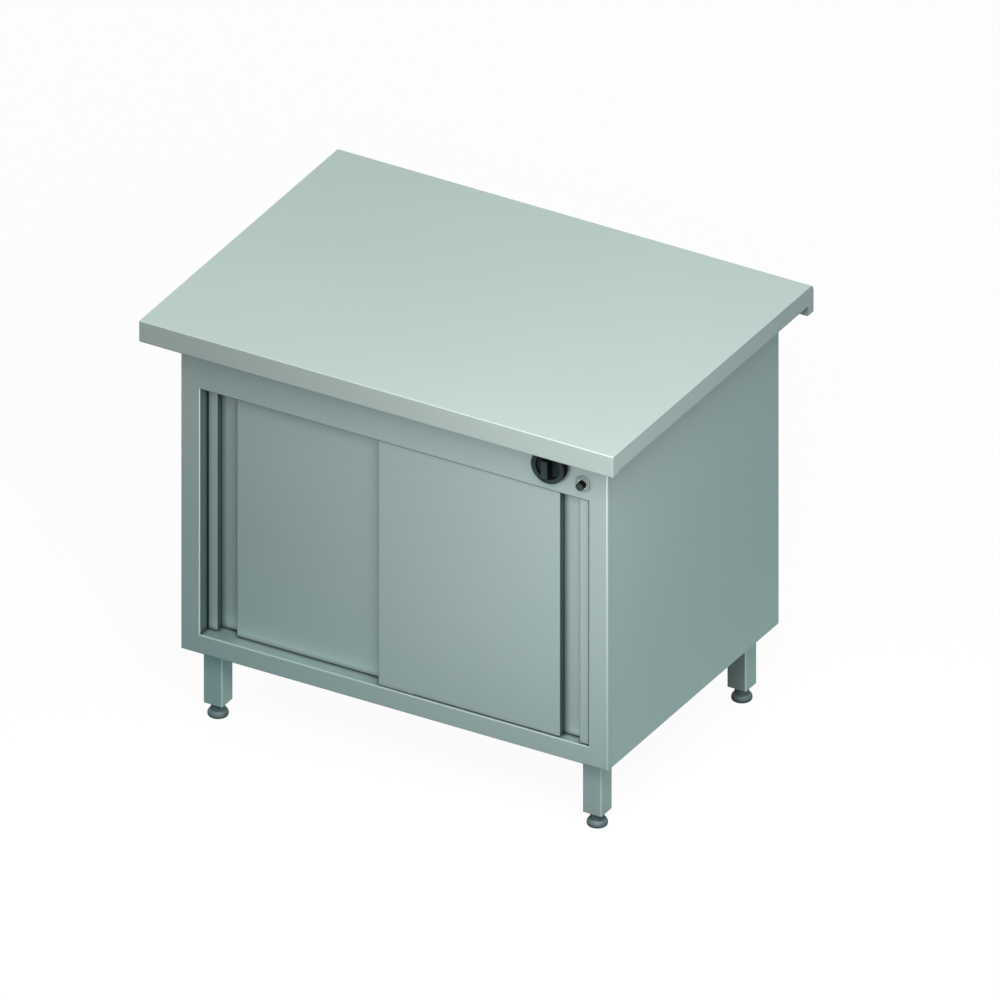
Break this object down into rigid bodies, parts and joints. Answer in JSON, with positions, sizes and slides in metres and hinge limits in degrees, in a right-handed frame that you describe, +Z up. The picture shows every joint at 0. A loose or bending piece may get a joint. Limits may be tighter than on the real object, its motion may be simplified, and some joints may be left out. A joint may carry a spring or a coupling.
{
  "type": "heated plate warmer table",
  "caption": "Stainless heated cabinet on four adjustable feet with an overhanging folded worktop, sliding doors with full-height finger pulls, a thermostat knob and a reset button.",
  "frame": {"origin": "on the floor under the middle of the worktop", "axes": "+X to the right along the front, +Y to the back, +Z up"},
  "size_m": [1, 0.734, 0.86],
  "materials": {
    "stainless_sheet": "fine satin grain",
    "track_steel": "plain rolled",
    "foot_steel": "satin turned",
    "zinc_plated_steel": "bright zinc",
    "heater_sheath": "annealed dull grey",
    "black_plastic": "moulded satin",
    "grey_plastic": "moulded matt",
    "white_nylon": "moulded matt",
    "white_ceramic": "glazed",
    "black_rubber": "moulded matt",
    "mineral_wool": "fibrous slab",
    "laminated_board": "pressed chips, white melamine faces"
  },
  "bodies": {
    "cabinet": {"worktop": "stainless_sheet", "worktop_board": "laminated_board", "front_frame": "stainless_sheet", "right_side_panel": "stainless_sheet", "left_side_panel": "stainless_sheet", "base_panel": "stainless_sheet", "back_panel": "stainless_sheet", "right_liner": "stainless_sheet", "left_liner": "stainless_sheet", "back_liner": "stainless_sheet", "liner_ceiling": "stainless_sheet", "heated_deck": "stainless_sheet", "right_insulation": "mineral_wool", "left_insulation": "mineral_wool", "back_insulation": "mineral_wool", "top_insulation": "mineral_wool", "middle_shelf": "stainless_sheet", "right_shelf_rail": "stainless_sheet", "left_shelf_rail": "stainless_sheet", "door_track": "track_steel", "right_door_stop": "black_rubber", "left_door_stop": "black_rubber", "bottom_guide": "white_nylon", "heater_element": "heater_sheath", "right_heater_bracket": "zinc_plated_steel", "left_heater_bracket": "zinc_plated_steel", "thermostat_body": "white_ceramic", "thermostat_bulb": "zinc_plated_steel", "limiter_housing": "zinc_plated_steel", "limiter_nut": "zinc_plated_steel", "cable_gland": "grey_plastic", "bonding_stud": "zinc_plated_steel", "terminal_block": "white_ceramic", "front_right_leg": "stainless_sheet", "front_left_leg": "stainless_sheet", "back_right_leg": "stainless_sheet", "back_left_leg": "stainless_sheet", "front_right_leg_insert": "grey_plastic", "front_left_leg_insert": "grey_plastic", "back_right_leg_insert": "grey_plastic", "back_left_leg_insert": "grey_plastic"},
    "right_door": {"right_door_skin": "stainless_sheet", "right_door_back": "stainless_sheet", "right_door_inner_hanger": "zinc_plated_steel", "right_door_outer_hanger": "zinc_plated_steel"},
    "right_inner_wheel": {"right_door_inner_roller": "white_nylon"},
    "right_outer_wheel": {"right_door_outer_roller": "white_nylon"},
    "left_door": {"left_door_skin": "stainless_sheet", "left_door_back": "stainless_sheet", "left_door_inner_hanger": "zinc_plated_steel", "left_door_outer_hanger": "zinc_plated_steel"},
    "left_inner_wheel": {"left_door_inner_roller": "white_nylon"},
    "left_outer_wheel": {"left_door_outer_roller": "white_nylon"},
    "thermostat_knob": {"knob": "black_plastic", "thermostat_stem": "zinc_plated_steel"},
    "limiter_button": {"reset_button": "black_plastic"},
    "foot_front_right": {"front_right_foot": "foot_steel"},
    "foot_front_left": {"front_left_foot": "foot_steel"},
    "foot_back_right": {"back_right_foot": "foot_steel"},
    "foot_back_left": {"back_left_foot": "foot_steel"}
  },
  "joints": [
    {"name": "right_door_slide", "type": "slide", "parent": "cabinet", "child": "right_door", "axis": [-1, 0, 0], "range_m": [0, 0.366]},
    {"name": "left_door_slide", "type": "slide", "parent": "cabinet", "child": "left_door", "axis": [1, 0, 0], "range_m": [0, 0.366]},
    {"name": "right_inner_wheel_roll", "type": "hinge", "parent": "right_door", "child": "right_inner_wheel", "pos_m": [0.014, -0.29287, 0.7251], "axis": [0, -1, 0], "range_deg": [0, 2996]},
    {"name": "right_outer_wheel_roll", "type": "hinge", "parent": "right_door", "child": "right_outer_wheel", "pos_m": [0.33, -0.29287, 0.7251], "axis": [0, -1, 0], "range_deg": [0, 2996]},
    {"name": "left_inner_wheel_roll", "type": "hinge", "parent": "left_door", "child": "left_inner_wheel", "pos_m": [-0.014, -0.26987, 0.7251], "axis": [0, 1, 0], "range_deg": [0, 2996]},
    {"name": "left_outer_wheel_roll", "type": "hinge", "parent": "left_door", "child": "left_outer_wheel", "pos_m": [-0.33, -0.26987, 0.7251], "axis": [0, 1, 0], "range_deg": [0, 2996]},
    {"name": "knob_turn", "type": "hinge", "parent": "cabinet", "child": "thermostat_knob", "pos_m": [0.333, -0.301, 0.766], "axis": [0, 1, 0], "range_deg": [0, 270]},
    {"name": "button_press", "type": "slide", "parent": "cabinet", "child": "limiter_button", "axis": [0, 1, 0], "range_m": [0, 0.003], "stiffness_N_per_m": 800},
    {"name": "front_right_foot_screw", "type": "slide", "parent": "cabinet", "child": "foot_front_right", "axis": [0, 0, -1], "range_m": [0, 0.015]},
    {"name": "front_left_foot_screw", "type": "slide", "parent": "cabinet", "child": "foot_front_left", "axis": [0, 0, -1], "range_m": [0, 0.015]},
    {"name": "back_right_foot_screw", "type": "slide", "parent": "cabinet", "child": "foot_back_right", "axis": [0, 0, -1], "range_m": [0, 0.015]},
    {"name": "back_left_foot_screw", "type": "slide", "parent": "cabinet", "child": "foot_back_left", "axis": [0, 0, -1], "range_m": [0, 0.015]}
  ],
  "couplings": [
    {"joint": "right_inner_wheel_roll", "follows": "right_door_slide", "rad_per_m": 142.86},
    {"joint": "right_outer_wheel_roll", "follows": "right_door_slide", "rad_per_m": 142.86},
    {"joint": "left_inner_wheel_roll", "follows": "left_door_slide", "rad_per_m": 142.86},
    {"joint": "left_outer_wheel_roll", "follows": "left_door_slide", "rad_per_m": 142.86}
  ]
}
